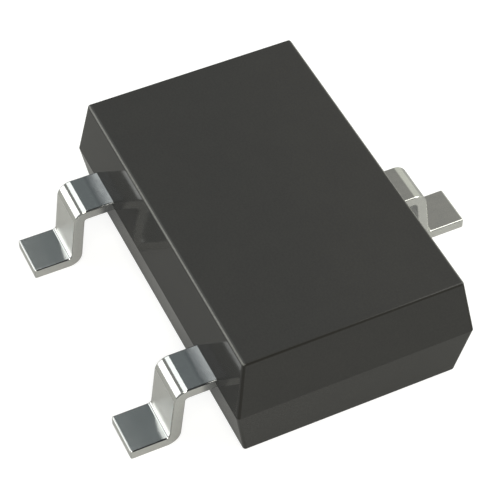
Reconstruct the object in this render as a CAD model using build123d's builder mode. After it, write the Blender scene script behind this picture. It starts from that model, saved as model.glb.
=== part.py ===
from build123d import *
import os
from math import radians, tan

# A three-lead surface-mount transistor, in millimetres.
# The origin is on the seating plane under the middle of the body, with +Z up.
# +X runs along the body. The base and emitter leads leave on its -Y side, the collector lead on its +Y side.

# Moulded body
body_length = 2.97  # along X, at the parting line
body_width = 1.90  # along Y, at the parting line
body_top = 1.006  # top face above the seating plane
standoff = 0.010  # bottom face above the seating plane
parting_height = 0.512  # where the mould halves meet, level with the middle of the leadframe
end_draft = 8.4  # degrees, on the two end walls
side_draft = 9.5  # degrees, on the two walls that the leads pass through
body_round = 0.025  # down the four corners and round the top and bottom faces

# Formed leads
lead_pitch = 1.90  # between the base and emitter leads
lead_span = 3.265  # toe to toe across the body
lead_width = 0.362
lead_thickness = 0.090
lead_lean = 7.1  # degrees that each leg leans outwards towards its foot
foot_length = 0.350  # from the heel corner of the strip's centreline to the toe
bend_radius = 0.028  # inside of both bends
strip_edge = 0.014  # broken off the long edges of the stamped strip
toe_edge = 0.012  # broken off the edges of the cut at the toe

# Leadframe inside the body
paddle_length = 1.10  # along X
paddle_width = 0.80  # along Y
paddle_offset = 0.05  # middle of the paddle, towards the collector side
frame_gap = 0.14  # between the paddle and the bonding flags
flag_overhang = 0.08  # how far a flag reaches past the outer edge of its lead
flag_tip = 0.10  # free end of a flag, from the middle of the body
flag_length = 0.52  # along Y
frame_corner_round = 0.04  # corners of the stamped outline

# Die
die_size = 0.42
die_thickness = 0.16
attach_thickness = 0.015
attach_margin = 0.025  # adhesive that shows round the die
attach_corner_round = 0.03

# Bond wires
wire_diameter = 0.025
loop_height = 0.14  # top of the wire's centreline above the die
loop_radius = 0.05
bond_pad_inset = 0.11  # bond pads, in from the edges of the die
ball_diameter = 0.072
ball_thickness = 0.018
ball_edge = 0.006  # broken off the ball's upper edge
stitch_length = 0.085
stitch_width = 0.05
stitch_thickness = 0.010

# Levels and places that follow from the sizes above
frame_bottom = parting_height - lead_thickness / 2
frame_top = parting_height + lead_thickness / 2
die_bottom = frame_top + attach_thickness
die_top = die_bottom + die_thickness
flag_inner_edge = paddle_length / 2 + frame_gap
flag_outer_edge = lead_pitch / 2 + lead_width / 2 + flag_overhang
flag_width = flag_outer_edge - flag_inner_edge
flag_middle = ((flag_inner_edge + flag_outer_edge) / 2, -(flag_tip + flag_length / 2))
pad_reach = die_size / 2 - bond_pad_inset


def gull_wing(x, side, start):
    """The formed strip of a lead that leaves on one side of the body, from inside the body to its toe."""
    toe = lead_span / 2
    heel = toe - foot_length
    foot_level = lead_thickness / 2
    knee = heel - (parting_height - foot_level) * tan(radians(lead_lean))
    profile_plane = Plane((x, 0, 0), x_dir=(0, side, 0), z_dir=(side, 0, 0))
    section_plane = Plane((x, side * start, parting_height), x_dir=(1, 0, 0), z_dir=(0, side, 0))
    with BuildPart() as strip:
        with BuildLine(profile_plane) as centreline:
            FilletPolyline(
                (start, parting_height),
                (knee, parting_height),
                (heel, foot_level),
                (toe, foot_level),
                radius=bend_radius + lead_thickness / 2,
            )
        with BuildSketch(section_plane) as section:
            Rectangle(lead_width, lead_thickness)
            chamfer(section.vertices(), length=strip_edge)
        sweep(path=centreline.line)
        toe_face = strip.faces().sort_by(Axis.Y)[-1 if side > 0 else 0]
        chamfer(toe_face.edges(), length=toe_edge)
    return strip.part


def flagged_lead(hand):
    """The base lead (hand -1) or emitter lead (hand 1), with the flag that its wire is bonded to."""
    with BuildPart() as lead:
        with BuildSketch(Plane.XY.offset(frame_bottom)):
            with Locations((hand * flag_middle[0], flag_middle[1])):
                RectangleRounded(flag_width, flag_length, frame_corner_round)
        extrude(amount=lead_thickness)
        add(gull_wing(hand * lead_pitch / 2, -1, flag_tip + flag_length - lead_thickness))
    return lead.part


def paddle_lead():
    """The collector lead, in one piece with the paddle that carries the die."""
    with BuildPart() as lead:
        with BuildSketch(Plane.XY.offset(frame_bottom)):
            with Locations((0, paddle_offset)):
                RectangleRounded(paddle_length, paddle_width, frame_corner_round)
        extrude(amount=lead_thickness)
        add(gull_wing(0, 1, paddle_offset + paddle_width / 2 - lead_thickness))
    return lead.part


def bond_wire(hand):
    """A ball-bonded wire from its pad on the die, over a loop, to the stitch on the flag of its lead."""
    pad = Vector(hand * pad_reach, paddle_offset - hand * pad_reach)
    flag = Vector(hand * flag_middle[0], flag_middle[1])
    run = flag - pad
    loop_plane = Plane((pad.X, pad.Y, 0), x_dir=run, z_dir=run.cross(Vector(0, 0, 1)))
    stitch_plane = Plane((flag.X, flag.Y, frame_top), x_dir=run, z_dir=(0, 0, 1))
    wire_start = die_top + ball_thickness / 2
    wire_end = frame_top + stitch_thickness / 2
    with BuildPart() as wire:
        with BuildSketch(Plane((pad.X, pad.Y, die_top))):
            Circle(ball_diameter / 2)
        extrude(amount=ball_thickness)
        chamfer(wire.edges().sort_by(Axis.Z)[-1], length=ball_edge)
        with BuildLine(loop_plane) as loop:
            FilletPolyline(
                (0, wire_start),
                (0, die_top + loop_height),
                (run.length, wire_end),
                radius=loop_radius,
            )
        with BuildSketch(Plane((pad.X, pad.Y, wire_start))):
            Circle(wire_diameter / 2)
        sweep(path=loop.line)
        with BuildSketch(stitch_plane):
            Ellipse(stitch_length / 2, stitch_width / 2)
        extrude(amount=stitch_thickness)
        split(bisect_by=Plane.XY.offset(frame_top), keep=Keep.TOP)
    return wire.part


def drafted_half(height, drop):
    """One half of the moulding, from the parting line to the flat face `drop` above or below it."""
    shrink_x = 2 * abs(drop) * tan(radians(end_draft))
    shrink_y = 2 * abs(drop) * tan(radians(side_draft))
    with BuildPart() as half:
        with BuildSketch(Plane.XY.offset(height)):
            Rectangle(body_length, body_width)
        with BuildSketch(Plane.XY.offset(height + drop)):
            Rectangle(body_length - shrink_x, body_width - shrink_y)
        loft()
        parting_edges = half.edges().filter_by_position(Axis.Z, height, height)
        fillet(half.edges() - parting_edges, radius=body_round)
    return half.part


# Leads, stamped and formed from one strip of copper alloy
base_lead = flagged_lead(-1)
emitter_lead = flagged_lead(1)
collector_lead = paddle_lead()

# Adhesive under the die
with BuildPart() as die_attach:
    with BuildSketch(Plane.XY.offset(frame_top)):
        with Locations((0, paddle_offset)):
            RectangleRounded(die_size + 2 * attach_margin, die_size + 2 * attach_margin, attach_corner_round)
    extrude(amount=attach_thickness)

# Silicon die
with BuildPart() as silicon_die:
    with BuildSketch(Plane.XY.offset(die_bottom)):
        with Locations((0, paddle_offset)):
            Rectangle(die_size, die_size)
    extrude(amount=die_thickness)

# Wires from the die to the base and emitter leads
base_wire = bond_wire(-1)
emitter_wire = bond_wire(1)

inner_pieces = {
    "base_lead": base_lead,
    "emitter_lead": emitter_lead,
    "collector_lead": collector_lead,
    "die_attach": die_attach.part,
    "silicon_die": silicon_die.part,
    "base_wire": base_wire,
    "emitter_wire": emitter_wire,
}

# Moulded body, cast round everything inside it
with BuildPart() as mould_body:
    add(drafted_half(parting_height, body_top - parting_height))
    add(drafted_half(parting_height, standoff - parting_height))
    for inner_piece in inner_pieces.values():
        add(inner_piece, mode=Mode.SUBTRACT)

os.makedirs("parts", exist_ok=True)
for name, piece in {"mould_body": mould_body.part, **inner_pieces}.items():
    piece.label = name
    export_step(piece, f"parts/{name}.step")
    print(name, round(piece.volume, 5), "mm3")
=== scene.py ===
from math import cos, pi, radians, sin, tan

import bpy
from bpy.props import FloatProperty, FloatVectorProperty, IntProperty, PointerProperty
from mathutils import Matrix, Vector


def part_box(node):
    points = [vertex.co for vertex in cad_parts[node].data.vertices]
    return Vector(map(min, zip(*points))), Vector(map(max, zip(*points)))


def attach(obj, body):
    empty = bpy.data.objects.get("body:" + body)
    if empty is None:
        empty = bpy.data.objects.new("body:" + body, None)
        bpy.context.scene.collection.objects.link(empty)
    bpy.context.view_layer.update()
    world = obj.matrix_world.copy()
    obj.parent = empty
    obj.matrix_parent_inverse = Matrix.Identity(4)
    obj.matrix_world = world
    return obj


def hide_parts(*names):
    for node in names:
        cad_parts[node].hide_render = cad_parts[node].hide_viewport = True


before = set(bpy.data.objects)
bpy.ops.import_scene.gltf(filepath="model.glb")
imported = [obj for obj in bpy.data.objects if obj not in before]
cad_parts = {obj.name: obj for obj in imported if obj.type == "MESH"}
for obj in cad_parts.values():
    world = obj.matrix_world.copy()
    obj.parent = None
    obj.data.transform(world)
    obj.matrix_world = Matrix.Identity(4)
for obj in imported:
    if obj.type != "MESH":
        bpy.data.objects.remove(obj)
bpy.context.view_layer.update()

# The looks of a three-lead surface-mount transistor: formed and plated leads, moulded body,
# die, adhesive and bond wires, with the studio that they are seen in. All lengths are in metres.

bl_info = {
    "name": "Surface-mount Transistor",
    "version": (1, 0, 0),
    "blender": (4, 5, 0),
    "location": "3D View > Sidebar > Transistor",
    "description": "Makes the formed leads and finishes the moulded body, die and bond wires",
    "category": "Object",
}

MM = 0.001
BODY = "root"
BODY_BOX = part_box("mould_body")
LEAD_BOXES = {name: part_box(name) for name in ("base_lead", "emitter_lead", "collector_lead")}
WHITE = (1.0, 1.0, 1.0)


def length(name, default, description):
    """A size in metres, shown as a distance."""
    return FloatProperty(
        name=name, description=description, default=default, min=0.0, precision=6,
        unit="LENGTH", subtype="DISTANCE",
    )


def shift(name, default, description):
    """A distance in metres, to either side."""
    return FloatProperty(name=name, description=description, default=default, precision=6, subtype="DISTANCE")


def angle(name, default, description):
    """An angle, with its default in degrees."""
    return FloatProperty(name=name, description=description, default=radians(default), subtype="ANGLE")


def colour(name, default, description):
    """A linear colour without alpha."""
    return FloatVectorProperty(
        name=name, description=description, default=default, size=3, min=0.0, max=1.0, subtype="COLOR"
    )


def factor(name, default, description):
    """A number from 0 to 1."""
    return FloatProperty(
        name=name, description=description, default=default, min=0.0, max=1.0, subtype="FACTOR"
    )


class LeadSettings(bpy.types.PropertyGroup):
    """Sizes of the formed leads that the frame doesn't give."""

    pitch: length("Pitch", 1.90 * MM, "Between the base and emitter leads")
    width: length("Width", 0.362 * MM, "Width of the lead strip")
    thickness: length("Thickness", 0.090 * MM, "Thickness of the lead strip")
    foot: length("Foot Length", 0.350 * MM, "From the heel corner of the centreline to the toe")
    bend_radius: length("Bend Radius", 0.028 * MM, "Inside radius of both bends")
    edge_round: length("Edge Round", 0.015 * MM, "Rounding of the long edges")
    toe_round: length("Toe Round", 0.013 * MM, "Rounding of the edges at the toe")
    paddle_width: length("Paddle Width", 0.80 * MM, "Across the body, of the plate under the die")
    paddle_offset: length("Paddle Offset", 0.05 * MM, "Middle of the paddle, towards the collector")
    flag_length: length("Flag Length", 0.52 * MM, "Across the body, of the plates under the wire ends")
    plate_corner: length("Plate Corner", 0.04 * MM, "Corner radius of the paddle and flags")
    lean: angle("Lean", 7.1, "How far each leg leans outwards")
    bend_steps: IntProperty(name="Bend Steps", description="Facets round each bend", default=28, min=4)
    round_steps: IntProperty(name="Round Steps", description="Facets round each edge", default=6, min=2)


class PlatingSettings(bpy.types.PropertyGroup):
    """Finish of the tin-plated leads."""

    tint: colour("Tin", (0.82, 0.82, 0.795), "Colour of the plating")
    shade: colour("Tin in Grain", (0.70, 0.71, 0.70), "Colour between the grains")
    # Painted light: the stamped sides are painted paler than the tin, lifting them where they mirror the
    # shaded floor; their higher roughness is real.
    cut: colour("Cut Face", (0.94, 0.94, 0.92), "Colour of the stamped side faces and toes")
    # Painted light: the legs and toes are painted paler than the tin, in place of floor light they mirror;
    # their higher roughness is real.
    drawn: colour("Drawn Face", (0.93, 0.93, 0.91), "Colour of the legs, which the forming tool burnishes")
    film: colour("Resin Film", (0.40, 0.41, 0.42), "Colour of the tin under the resin beside the body")
    roughness: factor("Roughness", 0.08, "Roughness of the plating on the flats and bends")
    cut_roughness: factor("Cut Roughness", 0.24, "Roughness of the stamped side faces and toes")
    drawn_roughness: factor("Drawn Roughness", 0.34, "Roughness of the legs, dragged over by the tool")
    film_roughness: factor("Film Roughness", 0.24, "Roughness of the flats under the resin")
    dulling: factor("Dulling", 0.02, "Roughness that the cloudy patches add")
    least_cut: factor("Least Cut", 0.7, "Share of the cut face's colour in the hollows of the grain")
    least_film: factor("Least Film", 0.8, "Share of the resin's colour where the film is thinnest")
    grain: length("Grain", 0.008 * MM, "Size of the tin grains")
    patch: length("Patch", 0.085 * MM, "Size of the cloudy patches in the plating")
    relief: length("Grain Relief", 0.00018 * MM, "Height of the grains")
    line: length("Rolling Line", 0.005 * MM, "Spacing of the rolling lines along the strip")
    line_length: length("Rolling Line Length", 0.2 * MM, "How far each rolling line runs")
    line_depth: factor("Rolling Line Depth", 0.12, "Height of the rolling lines, as a share of the relief")
    film_reach: length("Film Reach", 0.125 * MM, "How far the resin spreads along the lead")


class MouldSettings(bpy.types.PropertyGroup):
    """Finish of the moulded body."""

    base: colour("Compound", (0.0368, 0.0362, 0.0364), "Colour of the moulding compound")
    pale: colour("Filler", (0.050, 0.050, 0.047), "Colour where filler lies near the surface")
    # Painted shade: the corners and rims at the two ends are painted darker, standing in for the dark
    # reflections they would show.
    soiled: colour("Painted End Shade", (0.023, 0.022, 0.020), "Colour along the corners and rims of the two ends")
    # Painted highlight: the two long rims round the top are painted paler, in place of a reflection.
    rubbed: colour("Painted Rim Highlight", (0.21, 0.21, 0.20), "Colour along the two long rims, rubbed in the feeder")
    roughness: factor("Roughness", 0.07, "Roughness of the moulded skin")
    dulling: factor("Dulling", 0.02, "Roughness that the cloudy patches add")
    least_rubbed: factor("Least Rubbed", 0.7, "Share of the rubbed colour in the hollows of the grain")
    refraction: FloatProperty(name="IOR", description="Index of refraction of the skin", default=1.4, min=1.0)
    grain: length("Filler Grain", 0.016 * MM, "Size of the filler grains")
    patch: length("Flow Patch", 0.22 * MM, "Size of the cloudy patches left by the flow of the compound")
    relief: length("Skin Relief", 0.00015 * MM, "Height of the grain in the skin")


class InnerSettings(bpy.types.PropertyGroup):
    """Finishes of the die, its adhesive and the bond wires."""

    silicon: colour("Silicon", (0.050, 0.056, 0.072), "Colour of the sawn silicon")
    passivation: colour("Passivation", (0.10, 0.13, 0.12), "Colour of the glassy film on the die")
    metal: colour("Die Metal", (0.80, 0.81, 0.82), "Colour of the bond pads on the die")
    pad: length("Bond Pad", 0.10 * MM, "Width of each bond pad")
    pad_reach: length("Bond Pad Reach", 0.10 * MM, "Bond pads, from the middle of the die along X and Y")
    saw_run: length("Saw Mark Run", 0.02 * MM, "How far each saw mark runs")
    saw_pitch: length("Saw Mark Pitch", 0.002 * MM, "Spacing of the saw marks")
    saw_depth: length("Saw Mark Depth", 0.001 * MM, "Depth of the saw marks")
    saw_tone: factor("Saw Mark Tone", 0.5, "How far the saw marks turn to the film's colour")
    die_grain: length("Die Grain", 0.01 * MM, "Size of the faint grain in the die's surface")
    die_patch: length("Die Patch", 0.10 * MM, "Size of the cloudy patches in the film on the die")
    die_cloud: factor("Die Cloud", 0.4, "How far the cloudy patches turn to the silicon's colour")
    sawn_roughness: factor("Sawn Roughness", 0.35, "Roughness of the die's sawn sides")
    die_roughness: factor("Die Roughness", 0.10, "Roughness of the glassy film on the die")
    die_dulling: factor("Die Dulling", 0.05, "Roughness that the faint grain adds to the die")
    adhesive: colour("Adhesive", (0.36, 0.35, 0.33), "Colour of the resin in the adhesive")
    flake: colour("Silver Flake", (0.86, 0.85, 0.82), "Colour of the silver flakes in the adhesive")
    flake_size: length("Flake Size", 0.006 * MM, "Size of the silver flakes")
    flake_patch: length("Flake Patch", 0.048 * MM, "Size of the patches with more or fewer flakes")
    flake_relief: length("Flake Relief", 0.0012 * MM, "Height of the flakes")
    resin_roughness: factor("Resin Roughness", 0.6, "Roughness of the resin in the adhesive")
    flake_roughness: factor("Flake Roughness", 0.3, "Roughness of the silver flakes")
    gold: colour("Gold", (0.90, 0.62, 0.24), "Colour of the bond wires")
    gold_shade: colour("Gold in Lines", (0.74, 0.47, 0.15), "Colour in the drawing lines of the wires")
    wire_line: length("Drawing Line", 0.003 * MM, "Size of the drawing marks on the wires")
    wire_line_length: length("Drawing Line Length", 0.018 * MM, "How far each drawing mark runs")
    wire_patch: length("Wire Patch", 0.03 * MM, "Size of the cloudy patches on the wires")
    wire_relief: length("Wire Relief", 0.0003 * MM, "Depth of the drawing marks")
    wire_roughness: factor("Wire Roughness", 0.16, "Roughness of the wires")
    wire_dulling: factor("Wire Dulling", 0.10, "Roughness that the faint grain adds to the wires")


class StageSettings(bpy.types.PropertyGroup):
    """Camera, floor and studio light."""

    lens: FloatProperty(name="Lens", description="Focal length in millimetres", default=142.4535, min=1.0)
    azimuth: angle("Azimuth", 64.9823, "Camera direction round the part")
    elevation: angle("Elevation", 48.5493, "Camera height above the horizon")
    roll: angle("Roll", -0.3102, "Camera turned about its own axis")
    distance: length("Distance", 15.006 * MM, "From the camera to the point that it circles")
    right: shift("Right", -0.1368 * MM, "Camera moved to its right")
    up: shift("Up", -0.1094 * MM, "Camera moved up its image")
    centre: length("Centre Height", 0.5 * MM, "Height of the point that the camera circles")
    floor_size: length("Floor Size", 200 * MM, "Width of the floor")
    floor_colour: colour("Floor", (0.31, 0.31, 0.30), "Colour of the floor")
    floor_seen: factor("Floor Seen", 0.82, "White that the camera sees on the floor, beside its colour")
    floor_mirrored: factor("Floor Mirrored", 0.10, "White on the floor that shiny surfaces mirror")
    studio: colour("Studio", (0.143, 0.161, 0.167), "Dim studio overhead, between the lamps")
    unlit: colour("Unlit Side", (0.028, 0.030, 0.032), "Studio overhead, on the emitter lead's side")
    front: colour("Front", (0.235, 0.240, 0.228), "Studio on the side of the base and emitter leads")
    rear: colour("Rear", (0.285, 0.282, 0.262), "Studio overhead, towards the collector's side")
    wall: colour("Wall", (0.64, 0.65, 0.58), "Pale wall on the collector's side")
    rig_distance: length("Rig Distance", 400 * MM, "From the part to the softboxes")


SETTINGS = {
    "lead_settings": LeadSettings,
    "plating_settings": PlatingSettings,
    "mould_settings": MouldSettings,
    "inner_settings": InnerSettings,
    "stage_settings": StageSettings,
}


class Graph:
    """Places nodes in a tree from left to right, and links or sets their inputs."""

    step = 190

    def __init__(self, tree):
        self.tree = tree
        self.count = 0

    def node(self, kind, inputs=None, **settings):
        """A node with its settings, and each input linked to a socket or set to a value."""
        node = self.tree.nodes.new(kind)
        node.location = (self.step * self.count, -self.step * (self.count % 3))
        self.count += 1
        for name, value in settings.items():
            setattr(node, name, value)
        for key, value in (inputs or {}).items():
            if isinstance(value, bpy.types.NodeSocket):
                self.link(value, node.inputs[key])
            else:
                node.inputs[key].default_value = value
        return node

    def link(self, output, target):
        self.tree.links.new(output, target)

    def math(self, operation, first, second=0.0):
        return self.node("ShaderNodeMath", {0: first, 1: second}, operation=operation).outputs[0]

    def vector(self, x=0.0, y=0.0, z=0.0):
        return self.node("ShaderNodeCombineXYZ", {0: x, 1: y, 2: z}).outputs[0]

    def vector_math(self, operation, first, second):
        return self.node("ShaderNodeVectorMath", {0: first, 1: second}, operation=operation).outputs[0]

    def parts(self, vector):
        """The X, Y and Z sockets of a vector."""
        return self.node("ShaderNodeSeparateXYZ", {0: vector}).outputs

    def mix(self, share, first, second):
        """A colour between two, each of them a socket or three numbers."""
        ends = [end if isinstance(end, bpy.types.NodeSocket) else (*end, 1.0) for end in (first, second)]
        return self.node("ShaderNodeMix", {0: share, 6: ends[0], 7: ends[1]}, data_type="RGBA").outputs[2]

    def total(self, *terms):
        """The sum of values, each of them times its share."""
        total = 0.0
        for value, share in terms:
            inputs = {0: value, 1: share, 2: total}
            total = self.node("ShaderNodeMath", inputs, operation="MULTIPLY_ADD").outputs[0]
        return total

    def between(self, share, low, high):
        """A value from low to high, as a share goes from 0 to 1."""
        inputs = {"Value": share, "To Min": low, "To Max": high}
        return self.node("ShaderNodeMapRange", inputs).outputs["Result"]

    def spread(self, value, low, high):
        """A share from 0 at low to 1 at high, smoothly and not past either."""
        return self.node(
            "ShaderNodeMapRange",
            {"Value": value, "From Min": low, "From Max": high},
            interpolation_type="SMOOTHSTEP",
        ).outputs["Result"]


# Leads

CREASE = radians(40)  # two faces that meet at more than this keep a sharp edge
MERGE_DISTANCE = 1e-8


def lead_tree():
    """A lead as a Geometry Nodes tree: a strip swept along its bent centreline, joined to its flat plate."""
    tree = bpy.data.node_groups.new("Formed Lead", "GeometryNodeTree")
    sockets = {
        "NodeSocketFloat": (
            "Width", "Thickness", "Exit Level", "Position", "Side", "Start", "Knee", "Heel", "Toe",
            "Bend Radius", "Edge Round", "Toe Round", "Plate Corner",
        ),
        "NodeSocketVector": ("Plate Low", "Plate High"),
        "NodeSocketInt": ("Bend Steps", "Round Steps"),
        "NodeSocketMaterial": ("Finish",),
    }
    for kind, names in sockets.items():
        for name in names:
            tree.interface.new_socket(name, in_out="INPUT", socket_type=kind)
    tree.interface.new_socket("Geometry", in_out="OUTPUT", socket_type="NodeSocketGeometry")
    graph = Graph(tree)
    size = graph.node("NodeGroupInput").outputs
    half_thickness = graph.math("MULTIPLY", size["Thickness"], 0.5)
    strip = graph.node("GeometryNodeSetPosition", {
        "Geometry": swept_strip(graph, size, half_thickness),
        "Offset": toe_inset(graph, size, half_thickness),
    }).outputs[0]
    joined = graph.node("GeometryNodeMeshBoolean", {"Mesh 2": strip}, operation="UNION", solver="EXACT")
    graph.link(flat_plate(graph, size), joined.inputs["Mesh 2"])
    smooth = graph.node("GeometryNodeSetShadeSmooth", {"Geometry": joined.outputs[0]}, domain="FACE")
    turn = graph.node("GeometryNodeInputMeshEdgeAngle").outputs["Unsigned Angle"]
    sharp = graph.node("FunctionNodeCompare", {0: turn, 1: CREASE}, operation="GREATER_THAN")
    creased = graph.node(
        "GeometryNodeSetShadeSmooth",
        {"Geometry": smooth.outputs[0], "Selection": sharp.outputs[0], "Shade Smooth": False},
        domain="EDGE",
    )
    realized = graph.node("GeometryNodeRealizeInstances", {"Geometry": creased.outputs[0]})
    finished = graph.node(
        "GeometryNodeSetMaterial", {"Geometry": realized.outputs[0], "Material": size["Finish"]}
    )
    graph.node("NodeGroupOutput", {"Geometry": finished.outputs[0]})
    return tree


def swept_strip(graph, size, half_thickness):
    """The strip from inside the body to its toe, with rounded long edges and rings ready to round the toe."""
    first_at_toe = 3  # after the start, the knee and the heel
    line = graph.node(
        "GeometryNodeMeshLine", {"Count": graph.math("ADD", size["Round Steps"], first_at_toe + 1)}
    )
    index = graph.node("GeometryNodeInputIndex").outputs[0]
    turn = graph.math("DIVIDE", graph.math("SUBTRACT", index, first_at_toe), size["Round Steps"])
    reach = graph.math("SINE", graph.math("MULTIPLY", turn, pi / 2))
    back = graph.math("MULTIPLY", graph.math("SUBTRACT", 1.0, reach), size["Toe Round"])
    toe = graph.math("SUBTRACT", size["Toe"], back)

    stops = graph.node("GeometryNodeIndexSwitch", data_type="VECTOR")
    while len(stops.index_switch_items) <= first_at_toe:
        stops.index_switch_items.new()
    graph.link(graph.math("MINIMUM", index, first_at_toe), stops.inputs["Index"])
    for number, (along, level) in enumerate((
        (size["Start"], size["Exit Level"]),
        (size["Knee"], size["Exit Level"]),
        (size["Heel"], half_thickness),
        (toe, half_thickness),
    )):
        place = graph.vector(size["Position"], graph.math("MULTIPLY", along, size["Side"]), level)
        graph.link(place, stops.inputs[str(number)])
    placed = graph.node(
        "GeometryNodeSetPosition", {"Geometry": line.outputs[0], "Position": stops.outputs[0]}
    )
    corners = graph.node("GeometryNodeMeshToCurve", {"Mesh": placed.outputs[0]})
    from_bends = graph.math("ABSOLUTE", graph.math("SUBTRACT", index, first_at_toe / 2))
    at_bend = graph.math("LESS_THAN", from_bends, 1.0)
    bend = graph.math("ADD", size["Bend Radius"], half_thickness)
    radius = graph.math("MULTIPLY", bend, at_bend)
    path = graph.node(
        "GeometryNodeFilletCurve",
        {"Curve": corners.outputs[0], "Count": size["Bend Steps"], "Radius": radius},
        mode="POLY",
    )
    section = graph.node(
        "GeometryNodeCurvePrimitiveQuadrilateral",
        {"Width": size["Width"], "Height": size["Thickness"]},
        mode="RECTANGLE",
    )
    rounded = graph.node(
        "GeometryNodeFilletCurve",
        {"Curve": section.outputs[0], "Count": size["Round Steps"], "Radius": size["Edge Round"]},
        mode="POLY",
    )
    upright = graph.node("GeometryNodeSetCurveNormal", {"Curve": path.outputs[0]}, mode="Z_UP")
    sweep = graph.node(
        "GeometryNodeCurveToMesh",
        {"Curve": upright.outputs[0], "Profile Curve": rounded.outputs[0], "Fill Caps": True},
    )
    return graph.node(
        "GeometryNodeMergeByDistance", {"Geometry": sweep.outputs[0], "Distance": MERGE_DISTANCE}
    ).outputs[0]


def toe_inset(graph, size, half_thickness):
    """How far each point near the toe moves in towards the middle of the section, to round its edges."""
    position = graph.node("GeometryNodeInputPosition").outputs[0]
    apart = graph.parts(
        graph.vector_math("SUBTRACT", position, graph.vector(size["Position"], 0.0, half_thickness))
    )
    round_start = graph.math("SUBTRACT", size["Toe"], size["Toe Round"])
    past = graph.math("SUBTRACT", graph.math("ABSOLUTE", apart["Y"]), round_start)
    past = graph.math("MAXIMUM", past, 0.0)
    radius_squared = graph.math("POWER", size["Toe Round"], 2.0)
    chord_squared = graph.math("SUBTRACT", radius_squared, graph.math("POWER", past, 2.0))
    chord = graph.math("SQRT", graph.math("MAXIMUM", chord_squared, 0.0))
    inset = graph.math("SUBTRACT", size["Toe Round"], chord)
    half_width = graph.math("MULTIPLY", size["Width"], 0.5)
    moves = []
    for part, half in ((apart["X"], half_width), (apart["Z"], half_thickness)):
        flat = graph.math("SUBTRACT", half, size["Edge Round"])
        over = graph.math("MAXIMUM", graph.math("SUBTRACT", graph.math("ABSOLUTE", part), flat), 0.0)
        outward = graph.math("DIVIDE", over, size["Edge Round"])
        outward = graph.math("MULTIPLY", outward, graph.math("SIGN", part))
        moves.append(graph.math("MULTIPLY", graph.math("MULTIPLY", outward, inset), -1.0))
    return graph.vector(moves[0], 0.0, moves[1])


def flat_plate(graph, size):
    """The paddle or flag at the inner end of a lead: a flat plate with rounded corners."""
    extent = graph.parts(graph.vector_math("SUBTRACT", size["Plate High"], size["Plate Low"]))
    both_corners = graph.vector_math("ADD", size["Plate High"], size["Plate Low"])
    middle = graph.vector_math("MULTIPLY", both_corners, (0.5, 0.5, 0.5))
    half_height = graph.vector(0.0, 0.0, graph.math("MULTIPLY", extent["Z"], 0.5))
    outline = graph.node(
        "GeometryNodeCurvePrimitiveQuadrilateral",
        {"Width": extent["X"], "Height": extent["Y"]},
        mode="RECTANGLE",
    )
    rounded = graph.node(
        "GeometryNodeFilletCurve",
        {"Curve": outline.outputs[0], "Count": size["Round Steps"], "Radius": size["Plate Corner"]},
        mode="POLY",
    )
    face = graph.node("GeometryNodeFillCurve", {"Curve": rounded.outputs[0]}, mode="NGONS")
    raised = graph.node("GeometryNodeExtrudeMesh", {
        "Mesh": face.outputs[0],
        "Offset": graph.vector(0.0, 0.0, extent["Z"]),
        "Offset Scale": 1.0,
        "Individual": False,
    })
    base = graph.node("GeometryNodeFlipFaces", {"Mesh": face.outputs[0]})
    shell = graph.node("GeometryNodeJoinGeometry", {"Geometry": raised.outputs[0]})
    graph.link(base.outputs[0], shell.inputs["Geometry"])
    closed = graph.node(
        "GeometryNodeMergeByDistance", {"Geometry": shell.outputs[0], "Distance": MERGE_DISTANCE}
    )
    return graph.node("GeometryNodeTransform", {
        "Geometry": closed.outputs[0],
        "Translation": graph.vector_math("SUBTRACT", middle, half_height),
    }).outputs[0]


def set_input(modifier, name, value):
    """Sets a modifier's input by the identifier of the tree's socket."""
    for item in modifier.node_group.interface.items_tree:
        if item.item_type == "SOCKET" and item.in_out == "INPUT" and item.name == name:
            modifier[item.identifier] = value
            return
    raise ValueError(f"the tree has no input named {name}")


def made_by_nodes(name, tree, inputs):
    """A plain mesh piece from a Geometry Nodes tree."""
    holder = bpy.data.objects.new(name + "_nodes", bpy.data.meshes.new(name + "_nodes"))
    bpy.context.scene.collection.objects.link(holder)
    modifier = holder.modifiers.new(tree.name, "NODES")
    modifier.node_group = tree
    for key, value in inputs.items():
        set_input(modifier, key, value)
    bpy.context.view_layer.update()
    depsgraph = bpy.context.evaluated_depsgraph_get()
    mesh = bpy.data.meshes.new_from_object(holder.evaluated_get(depsgraph), depsgraph=depsgraph)
    holder.modifiers.clear()
    bpy.data.objects.remove(holder)
    mesh.name = name
    weigh_normals(mesh)
    piece = bpy.data.objects.new(name, mesh)
    bpy.context.scene.collection.objects.link(piece)
    return piece


def weigh_normals(mesh):
    """Shades each corner by the faces that meet smoothly there, large ones most, so flats stay flat."""
    round_vertex = [[] for vertex in mesh.vertices]
    for face in mesh.polygons:
        for vertex in face.vertices:
            round_vertex[vertex].append(face)
    normals = []
    for face in mesh.polygons:
        for vertex in face.vertices:
            total = Vector((0.0, 0.0, 0.0))
            for other in round_vertex[vertex]:
                if other.normal.dot(face.normal) > cos(CREASE):
                    total += other.normal * other.area
            normals.append(total.normalized())
    mesh.normals_split_custom_set(normals)


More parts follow.
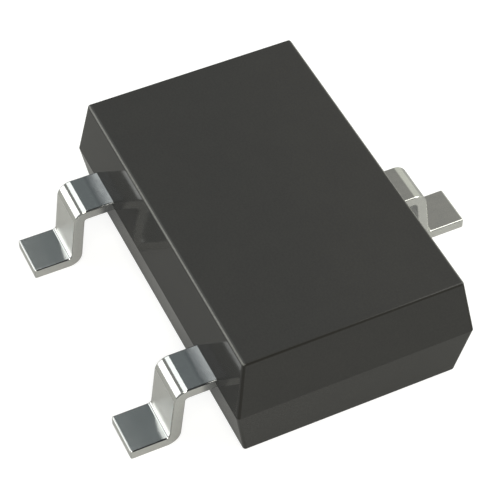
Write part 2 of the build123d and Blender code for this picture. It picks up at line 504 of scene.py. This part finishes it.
def lead_inputs(node, sizes):
    """The tree's inputs for one lead, worked out from the CAD node's box and the lead settings."""
    low, high = LEAD_BOXES[node]
    half = sizes.thickness / 2
    collector = node == "collector_lead"
    hand = {"base_lead": -1, "emitter_lead": 1, "collector_lead": 0}[node]
    toe = high.y if collector else -low.y
    exit_level = high.z - half
    heel = toe - sizes.foot
    if collector:
        plate_y = (sizes.paddle_offset - sizes.paddle_width / 2, sizes.paddle_offset + sizes.paddle_width / 2)
        start = plate_y[1] - sizes.thickness
    else:
        plate_y = (high.y - sizes.flag_length, high.y)
        start = -plate_y[0] - sizes.thickness
    return {
        "Width": sizes.width,
        "Thickness": sizes.thickness,
        "Exit Level": exit_level,
        "Position": hand * sizes.pitch / 2,
        "Side": 1.0 if collector else -1.0,
        "Start": start,
        "Knee": heel - (exit_level - half) * tan(sizes.lean),
        "Heel": heel,
        "Toe": toe,
        "Bend Radius": sizes.bend_radius,
        "Edge Round": sizes.edge_round,
        "Toe Round": sizes.toe_round,
        "Plate Corner": sizes.plate_corner,
        "Plate Low": (low.x, plate_y[0], high.z - sizes.thickness),
        "Plate High": (high.x, plate_y[1], high.z),
        "Bend Steps": sizes.bend_steps,
        "Round Steps": sizes.round_steps,
    }


class TRANSISTOR_OT_leads(bpy.types.Operator):
    """Forms the three leads and gives them their plating"""

    bl_idname = "transistor.leads"
    bl_label = "Form Leads"

    def execute(self, context):
        tree = lead_tree()
        finish = plating_material(context.scene.plating_settings)
        for node in LEAD_BOXES:
            inputs = lead_inputs(node, context.scene.lead_settings)
            piece = made_by_nodes("formed_" + node, tree, {**inputs, "Finish": finish})
            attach(piece, BODY)
            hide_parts(node)
        return {"FINISHED"}


# Materials

# Where a finish fades in or out, as the share of a face's normal along X, along Y or upwards
CUT_FACE = (0.75, 0.95)
DRAWN_FACE = (0.93, 0.985)
FLAT_FACE = (0.975, 0.998)
# The rim spans place the painted highlight on the long rims round the top.
RIM_RISES = (0.40, 0.60)
RIM_ENDS = (0.90, 0.98)
LONG_SIDE = (0.30, 0.50)
# The corner spans place the painted shade on the corners and rims at the ends.
CORNER_RISES = (0.50, 0.68)
CORNER_ENDS = (0.95, 0.985)
DIE_FACE = (0.6, 0.9)

# Levels of a noise between which a grain, patch, line or flake comes up
GRAIN_COMES_UP = (0.32, 0.68)
PATCH_COMES_UP = (0.35, 0.65)
LINE_COMES_UP = (0.3, 0.7)
FLAKE_COMES_UP = (0.45, 0.75)
CELLS_PER_GRAIN = 0.7
CELL_DEPTH = 0.35  # hollow at the edges between grains, beside the height of a grain


def new_material(name):
    """A node material with the graph to build on, and its Principled shader."""
    material = bpy.data.materials.new(name)
    material.use_nodes = True
    tree = material.node_tree
    return material, Graph(tree), tree.nodes["Principled BSDF"]


def dress(node, material):
    """Gives a CAD node's object its material in every slot."""
    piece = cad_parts[node]
    for place in piece.material_slots:
        place.material = material
    if not piece.material_slots:
        piece.data.materials.append(material)


def effect_group(name, inputs, outputs):
    """A shader node group with named number inputs and outputs: its tree, graph and input sockets."""
    tree = bpy.data.node_groups.new(name, "ShaderNodeTree")
    for socket in inputs:
        tree.interface.new_socket(socket, in_out="INPUT", socket_type="NodeSocketFloat")
    for socket in outputs:
        tree.interface.new_socket(socket, in_out="OUTPUT", socket_type="NodeSocketFloat")
    graph = Graph(tree)
    return tree, graph, graph.node("NodeGroupInput").outputs


def placed_group(graph, name, build, inputs=None):
    """The outputs of a group, built the first time, placed in a material with its own values."""
    tree = bpy.data.node_groups.get(name) or build(name)
    return graph.node("ShaderNodeGroup", inputs, node_tree=tree).outputs


def object_place(graph):
    return graph.node("ShaderNodeTexCoord").outputs["Object"]


def fine_grain(name):
    """Small grains with cloudy patches between them, on object coordinates."""
    tree, graph, given = effect_group(name, ("Grain Size", "Patch Size"), ("Grain", "Patches", "Height"))
    place = object_place(graph)
    grains_per_metre = graph.math("DIVIDE", 1.0, given["Grain Size"])
    patches_per_metre = graph.math("DIVIDE", 1.0, given["Patch Size"])
    grain = graph.node(
        "ShaderNodeTexNoise",
        {"Vector": place, "Scale": grains_per_metre, "Detail": 3.0, "Roughness": 0.62},
    ).outputs["Fac"]
    patches = graph.node(
        "ShaderNodeTexNoise",
        {"Vector": place, "Scale": patches_per_metre, "Detail": 4.0, "Roughness": 0.55},
    ).outputs["Fac"]
    cells = graph.node(
        "ShaderNodeTexVoronoi",
        {"Vector": place, "Scale": graph.math("DIVIDE", CELLS_PER_GRAIN, given["Grain Size"])},
        feature="SMOOTH_F1",
    ).outputs["Distance"]
    graph.node("NodeGroupOutput", {
        "Grain": graph.spread(grain, *GRAIN_COMES_UP),
        "Patches": graph.spread(patches, *PATCH_COMES_UP),
        "Height": graph.total((grain, 1.0), (cells, -CELL_DEPTH)),
    })
    return tree


def rolled_lines(name):
    """Fine lines that run along Y and Z, as rolling and drawing leave them, on object coordinates."""
    tree, graph, given = effect_group(name, ("Line Width", "Line Length"), ("Lines",))
    place = graph.parts(object_place(graph))
    across = graph.math("DIVIDE", place["X"], given["Line Width"])
    along = [graph.math("DIVIDE", place[axis], given["Line Length"]) for axis in ("Y", "Z")]
    lines = graph.node(
        "ShaderNodeTexNoise",
        {"Vector": graph.vector(across, *along), "Scale": 1.0, "Detail": 3.0, "Roughness": 0.6},
    ).outputs["Fac"]
    graph.node("NodeGroupOutput", {"Lines": graph.spread(lines, *LINE_COMES_UP)})
    return tree


def face_turn(name):
    """How far a face looks along X and along Y, from 0 to 1, and how far it looks up, from -1 to 1."""
    tree, graph = effect_group(name, (), ("Along X", "Along Y", "Up"))[:2]
    normal = graph.parts(graph.node("ShaderNodeTexCoord").outputs["Normal"])
    graph.node("NodeGroupOutput", {
        "Along X": graph.math("ABSOLUTE", normal["X"]),
        "Along Y": graph.math("ABSOLUTE", normal["Y"]),
        "Up": normal["Z"],
    })
    return tree


def placed_grain(graph, size, patch):
    return placed_group(graph, "Fine Grain", fine_grain, {"Grain Size": size, "Patch Size": patch})


def placed_lines(graph, across, along):
    return placed_group(graph, "Rolled Lines", rolled_lines, {"Line Width": across, "Line Length": along})


def placed_turn(graph):
    return placed_group(graph, "Face Turn", face_turn)


def bumped(graph, shader, height, relief):
    """Raises the surface by a height map."""
    bump = graph.node("ShaderNodeBump", {"Height": height, "Distance": relief, "Strength": 1.0})
    graph.link(bump.outputs["Normal"], shader.inputs["Normal"])


def resin_film(graph, look, patches):
    """How much resin lies on a lead: most beside the wall that it leaves, patchy, and none past its reach."""
    outward = graph.math("ABSOLUTE", graph.parts(object_place(graph))["Y"])
    wall = BODY_BOX[1].y
    bare = graph.spread(outward, wall + look.film_reach / 2, wall + look.film_reach)
    film = graph.math("SUBTRACT", 1.0, bare)
    return graph.math("MULTIPLY", film, graph.between(patches, look.least_film, 1.0))


def plating_material(look):
    """Bright tin plate: fine grains, faint lines along the strip, duller stamped sides and drawn legs, both
    painted paler as painted light.
    """
    material, graph, shader = new_material("Tin plating")
    grain = placed_grain(graph, look.grain, look.patch)
    rolled = placed_lines(graph, look.line, look.line_length)
    turn = placed_turn(graph)
    cut = graph.spread(turn["Along X"], *CUT_FACE)
    drawn = graph.math("SUBTRACT", graph.spread(turn["Along Y"], *DRAWN_FACE), cut)
    drawn = graph.math("MAXIMUM", drawn, 0.0)
    film = resin_film(graph, look, grain["Patches"])

    bright = graph.total((grain["Grain"], 0.5), (rolled["Lines"], 0.2), (grain["Patches"], 0.3))
    plated = graph.mix(bright, look.shade, look.tint)
    # Painted light: the stamped sides take a paler colour than the tin, varied by the grain.
    painted_side_light = graph.math("MULTIPLY", cut, graph.between(grain["Grain"], look.least_cut, 1.0))
    # Painted light: the legs and toes take a paler colour than the tin.
    metal = graph.mix(painted_side_light, graph.mix(drawn, plated, look.drawn), look.cut)
    graph.link(graph.mix(film, metal, look.film), shader.inputs["Base Color"])

    clouded = graph.between(grain["Patches"], look.roughness + look.dulling, look.roughness)
    bare_rough = graph.total(
        (clouded, 1.0),
        (cut, look.cut_roughness - look.roughness),
        (drawn, look.drawn_roughness - look.roughness),
    )
    flat_film = graph.math("MULTIPLY", film, graph.spread(turn["Up"], *FLAT_FACE))
    film_rough = graph.math("MULTIPLY", flat_film, look.film_roughness)
    graph.link(graph.math("MAXIMUM", bare_rough, film_rough), shader.inputs["Roughness"])

    height = graph.total((grain["Height"], 1.0), (rolled["Lines"], look.line_depth))
    bumped(graph, shader, height, look.relief)
    shader.inputs["Metallic"].default_value = 1.0
    return material


def mould_material(look):
    """Dark compound with filler grains under a smooth skin, painted shade on its end rims and a painted
    highlight on its long rims.
    """
    material, graph, shader = new_material("Moulding compound")
    grain = placed_grain(graph, look.grain, look.patch)
    turn = placed_turn(graph)
    flecks = graph.total((grain["Grain"], 0.30), (grain["Patches"], 0.10))
    flecked = graph.mix(flecks, look.base, look.pale)

    # Painted shade: the rounded corners and rims at the two ends are painted darker.
    corner_rises = graph.spread(turn["Along X"], *CORNER_RISES)
    corner = graph.math("SUBTRACT", corner_rises, graph.spread(turn["Along X"], *CORNER_ENDS))
    skin = graph.mix(corner, flecked, look.soiled)

    # Painted highlight: the long rims round the top are painted paler, broken up by the grain.
    below_top = graph.math("SUBTRACT", 1.0, graph.spread(turn["Up"], *RIM_ENDS))
    rim = graph.math("MULTIPLY", graph.spread(turn["Up"], *RIM_RISES), below_top)
    rim = graph.math("MULTIPLY", rim, graph.spread(turn["Along Y"], *LONG_SIDE))
    rim = graph.math("MULTIPLY", rim, graph.between(grain["Grain"], look.least_rubbed, 1.0))
    graph.link(graph.mix(rim, skin, look.rubbed), shader.inputs["Base Color"])

    clouded = graph.between(grain["Patches"], look.roughness + look.dulling, look.roughness)
    graph.link(clouded, shader.inputs["Roughness"])
    bumped(graph, shader, grain["Height"], look.relief)
    shader.inputs["IOR"].default_value = look.refraction
    return material


def silicon_material(look):
    """The die: a glassy film over silicon with a bare metal pad for each wire, and saw marks on its sides."""
    material, graph, shader = new_material("Silicon die")
    low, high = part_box("silicon_die")
    middle = (low + high) / 2
    place = graph.parts(object_place(graph))
    turn = placed_turn(graph)
    saw = placed_lines(graph, look.saw_run, look.saw_pitch)
    grain = placed_grain(graph, look.die_grain, look.die_patch)
    top = graph.spread(turn["Up"], *DIE_FACE)

    def pad_at(x, y):
        """1 inside a square pad, 0 outside it."""
        inside = []
        for part, centre in ((place["X"], x), (place["Y"], y)):
            off = graph.math("ABSOLUTE", graph.math("SUBTRACT", part, centre))
            inside.append(graph.math("LESS_THAN", off, look.pad / 2))
        return graph.math("MULTIPLY", *inside)

    pads = graph.math("ADD", *(
        pad_at(middle.x + hand * look.pad_reach, middle.y - hand * look.pad_reach) for hand in (-1, 1)
    ))
    pads = graph.math("MULTIPLY", pads, top)
    side = graph.mix(graph.math("MULTIPLY", saw["Lines"], look.saw_tone), look.silicon, look.passivation)
    film = graph.mix(graph.math("MULTIPLY", grain["Patches"], look.die_cloud), look.passivation, look.silicon)
    face = graph.mix(top, side, film)
    graph.link(graph.mix(pads, face, look.metal), shader.inputs["Base Color"])
    graph.link(pads, shader.inputs["Metallic"])
    rough = graph.between(top, look.sawn_roughness, look.die_roughness)
    rough = graph.total((rough, 1.0), (grain["Grain"], look.die_dulling))
    graph.link(rough, shader.inputs["Roughness"])
    sawn = graph.math("MULTIPLY", saw["Lines"], graph.math("SUBTRACT", 1.0, top))
    bumped(graph, shader, sawn, look.saw_depth)
    return material


def adhesive_material(look):
    """Resin full of small silver flakes, some of which catch the light."""
    material, graph, shader = new_material("Silver adhesive")
    grain = placed_grain(graph, look.flake_size, look.flake_patch)
    flakes = graph.spread(grain["Grain"], *FLAKE_COMES_UP)
    graph.link(graph.mix(flakes, look.adhesive, look.flake), shader.inputs["Base Color"])
    graph.link(flakes, shader.inputs["Metallic"])
    rough = graph.between(flakes, look.resin_roughness, look.flake_roughness)
    graph.link(rough, shader.inputs["Roughness"])
    bumped(graph, shader, grain["Height"], look.flake_relief)
    return material


def gold_material(look):
    """Drawn gold with faint marks from the die plate."""
    material, graph, shader = new_material("Bond wire gold")
    drawn = placed_lines(graph, look.wire_line, look.wire_line_length)
    grain = placed_grain(graph, look.wire_line, look.wire_patch)
    worn = graph.total((drawn["Lines"], 0.5), (grain["Patches"], 0.5))
    graph.link(graph.mix(worn, look.gold_shade, look.gold), shader.inputs["Base Color"])
    rough = graph.between(grain["Grain"], look.wire_roughness, look.wire_roughness + look.wire_dulling)
    graph.link(rough, shader.inputs["Roughness"])
    bumped(graph, shader, drawn["Lines"], look.wire_relief)
    shader.inputs["Metallic"].default_value = 1.0
    return material


class TRANSISTOR_OT_body(bpy.types.Operator):
    """Gives the moulded body its compound"""

    bl_idname = "transistor.body"
    bl_label = "Finish Body"

    def execute(self, context):
        dress("mould_body", mould_material(context.scene.mould_settings))
        return {"FINISHED"}


class TRANSISTOR_OT_die(bpy.types.Operator):
    """Gives the die and its adhesive their finishes"""

    bl_idname = "transistor.die"
    bl_label = "Finish Die"

    def execute(self, context):
        look = context.scene.inner_settings
        dress("silicon_die", silicon_material(look))
        dress("die_attach", adhesive_material(look))
        return {"FINISHED"}


class TRANSISTOR_OT_wires(bpy.types.Operator):
    """Gives the bond wires their gold"""

    bl_idname = "transistor.wires"
    bl_label = "Finish Bond Wires"

    def execute(self, context):
        gold = gold_material(context.scene.inner_settings)
        for node in ("base_wire", "emitter_wire"):
            dress(node, gold)
        return {"FINISHED"}


# Stage

# Where one part of the studio gives way to the next, as the share of a direction towards +Y or +X
FRONT_TO_STUDIO = (0.12, 0.195)
STUDIO_TO_REAR = (0.28, 0.345)
REAR_TO_WALL = (0.37, 0.54)
FRONT_TO_UNLIT = (0.05, 0.12)
LEFT_TO_UNLIT = (-0.45, -0.15)

# Each lamp's name, its lowest and highest edge as angles from overhead towards +Y, its left and right edge,
# all in degrees, its radiance and its colour
SOFTBOXES = (
    ("overhead_softbox", -22.0, 10.5, -55.0, -5.0, 0.88, (0.95, 1.0, 1.0)),
    ("side_softbox", -91.5, -42.5, -52.0, -24.0, 1.2, (0.99, 1.0, 0.995)),
    ("rear_softbox", 22.0, 60.0, -5.0, 38.0, 1.72, (1.0, 1.0, 0.93)),
    ("front_softbox", -20.0, -1.0, 17.0, 54.0, 8.2, (1.0, 0.99, 0.91)),
)


def make_camera(stage):
    """The camera, on a sphere round the part, turned and moved as the picture was taken."""
    azimuth, elevation = stage.azimuth, stage.elevation
    back = Vector((sin(azimuth) * cos(elevation), -cos(azimuth) * cos(elevation), sin(elevation)))
    level_right = Vector((cos(azimuth), sin(azimuth), 0.0))
    level_up = back.cross(level_right)
    right = level_right * cos(stage.roll) + level_up * sin(stage.roll)
    up = level_up * cos(stage.roll) - level_right * sin(stage.roll)
    data = bpy.data.cameras.new("Camera")
    data.lens = stage.lens
    data.sensor_width = 36.0
    data.clip_start = 0.001
    data.clip_end = 2.0
    camera = bpy.data.objects.new("Camera", data)
    bpy.context.scene.collection.objects.link(camera)
    place = back * stage.distance + right * stage.right + up * stage.up + Vector((0.0, 0.0, stage.centre))
    turn = Matrix((right, up, back)).transposed().to_4x4()
    camera.matrix_world = Matrix.Translation(place) @ turn
    bpy.context.scene.camera = camera


def make_floor(stage):
    """A plain pale floor, which the camera sees nearly white and shiny surfaces see dimmer."""
    half = stage.floor_size / 2
    corners = [(-half, -half, 0), (half, -half, 0), (half, half, 0), (-half, half, 0)]
    mesh = bpy.data.meshes.new("floor")
    mesh.from_pydata(corners, [], [(0, 1, 2, 3)])
    floor = bpy.data.objects.new("floor", mesh)
    bpy.context.scene.collection.objects.link(floor)
    material, graph, shader = new_material("Floor")
    shader.inputs["Base Color"].default_value = (*stage.floor_colour, 1.0)
    shader.inputs["Roughness"].default_value = 1.0
    shader.inputs["Specular IOR Level"].default_value = 0.0
    shader.inputs["Emission Color"].default_value = (*WHITE, 1.0)
    paths = graph.node("ShaderNodeLightPath").outputs
    mirrored = graph.math("MAXIMUM", paths["Is Glossy Ray"], paths["Is Transmission Ray"])
    white = graph.total((paths["Is Camera Ray"], stage.floor_seen), (mirrored, stage.floor_mirrored))
    graph.link(white, shader.inputs["Emission Strength"])
    mesh.materials.append(material)


def make_world(stage):
    """White for the camera. All else sees a studio, dim overhead and paler towards both long sides."""
    world = bpy.data.worlds.new("Studio")
    world.use_nodes = True
    bpy.context.scene.world = world
    graph = Graph(world.node_tree)
    direction = graph.parts(graph.node("ShaderNodeTexCoord").outputs["Generated"])
    back = direction["Y"]
    unlit = graph.math(
        "MULTIPLY", graph.spread(direction["X"], *LEFT_TO_UNLIT), graph.spread(back, *FRONT_TO_UNLIT)
    )
    around = graph.mix(graph.spread(back, *FRONT_TO_STUDIO), stage.front, stage.studio)
    around = graph.mix(unlit, around, stage.unlit)
    around = graph.mix(graph.spread(back, *STUDIO_TO_REAR), around, stage.rear)
    around = graph.mix(graph.spread(back, *REAR_TO_WALL), around, stage.wall)
    seen = graph.node("ShaderNodeLightPath").outputs["Is Camera Ray"]
    background = world.node_tree.nodes["Background"]
    graph.link(graph.mix(seen, around, WHITE), background.inputs["Color"])


def make_softboxes(stage):
    """Large soft lamps, out of the camera's sight, whose long sides run along the body."""
    across = Vector((1.0, 0.0, 0.0))
    for name, low, high, left, right, radiance, tint in SOFTBOXES:
        middle = radians(low + high) / 2
        direction = Vector((0.0, sin(middle), cos(middle)))
        reach = [stage.rig_distance * tan(radians(edge)) for edge in (left, right)]
        data = bpy.data.lights.new(name, "AREA")
        data.shape = "RECTANGLE"
        data.size = reach[1] - reach[0]
        data.size_y = 2 * stage.rig_distance * tan(radians(high - low) / 2)
        data.energy = 4 * data.size * data.size_y * radiance
        data.color = tint
        lamp = bpy.data.objects.new(name, data)
        bpy.context.scene.collection.objects.link(lamp)
        turn = Matrix((across, direction.cross(across), direction)).transposed().to_4x4()
        place = direction * stage.rig_distance + across * (reach[0] + reach[1]) / 2
        lamp.matrix_world = Matrix.Translation(place) @ turn
        lamp.visible_camera = False


class TRANSISTOR_OT_stage(bpy.types.Operator):
    """Sets up the camera, the floor and the studio light"""

    bl_idname = "transistor.stage"
    bl_label = "Set Up Stage"

    def execute(self, context):
        stage = context.scene.stage_settings
        make_camera(stage)
        make_floor(stage)
        make_world(stage)
        make_softboxes(stage)
        context.scene.view_settings.view_transform = "Standard"
        return {"FINISHED"}


OPERATORS = (
    TRANSISTOR_OT_leads, TRANSISTOR_OT_body, TRANSISTOR_OT_die, TRANSISTOR_OT_wires, TRANSISTOR_OT_stage
)


class TRANSISTOR_PT_panel(bpy.types.Panel):
    """Lists the transistor's sizes, finishes and steps"""

    bl_idname = "TRANSISTOR_PT_panel"
    bl_label = "Transistor"
    bl_space_type = "VIEW_3D"
    bl_region_type = "UI"
    bl_category = "Transistor"

    def draw(self, context):
        layout = self.layout
        for operator in OPERATORS:
            layout.operator(operator.bl_idname)
        for name, group in SETTINGS.items():
            box = layout.box()
            box.label(text=group.__doc__)
            for key in group.__annotations__:
                box.prop(getattr(context.scene, name), key)


def register():
    for group in SETTINGS.values():
        bpy.utils.register_class(group)
    for name, group in SETTINGS.items():
        setattr(bpy.types.Scene, name, PointerProperty(type=group))
    for operator in OPERATORS:
        bpy.utils.register_class(operator)
    bpy.utils.register_class(TRANSISTOR_PT_panel)


def unregister():
    bpy.utils.unregister_class(TRANSISTOR_PT_panel)
    for operator in reversed(OPERATORS):
        bpy.utils.unregister_class(operator)
    for name in reversed(SETTINGS):
        delattr(bpy.types.Scene, name)
    for group in reversed(SETTINGS.values()):
        bpy.utils.unregister_class(group)


def main():
    register()
    bpy.ops.transistor.leads()
    bpy.ops.transistor.body()
    bpy.ops.transistor.die()
    bpy.ops.transistor.wires()
    bpy.ops.transistor.stage()


if __name__ == "__main__":
    main()
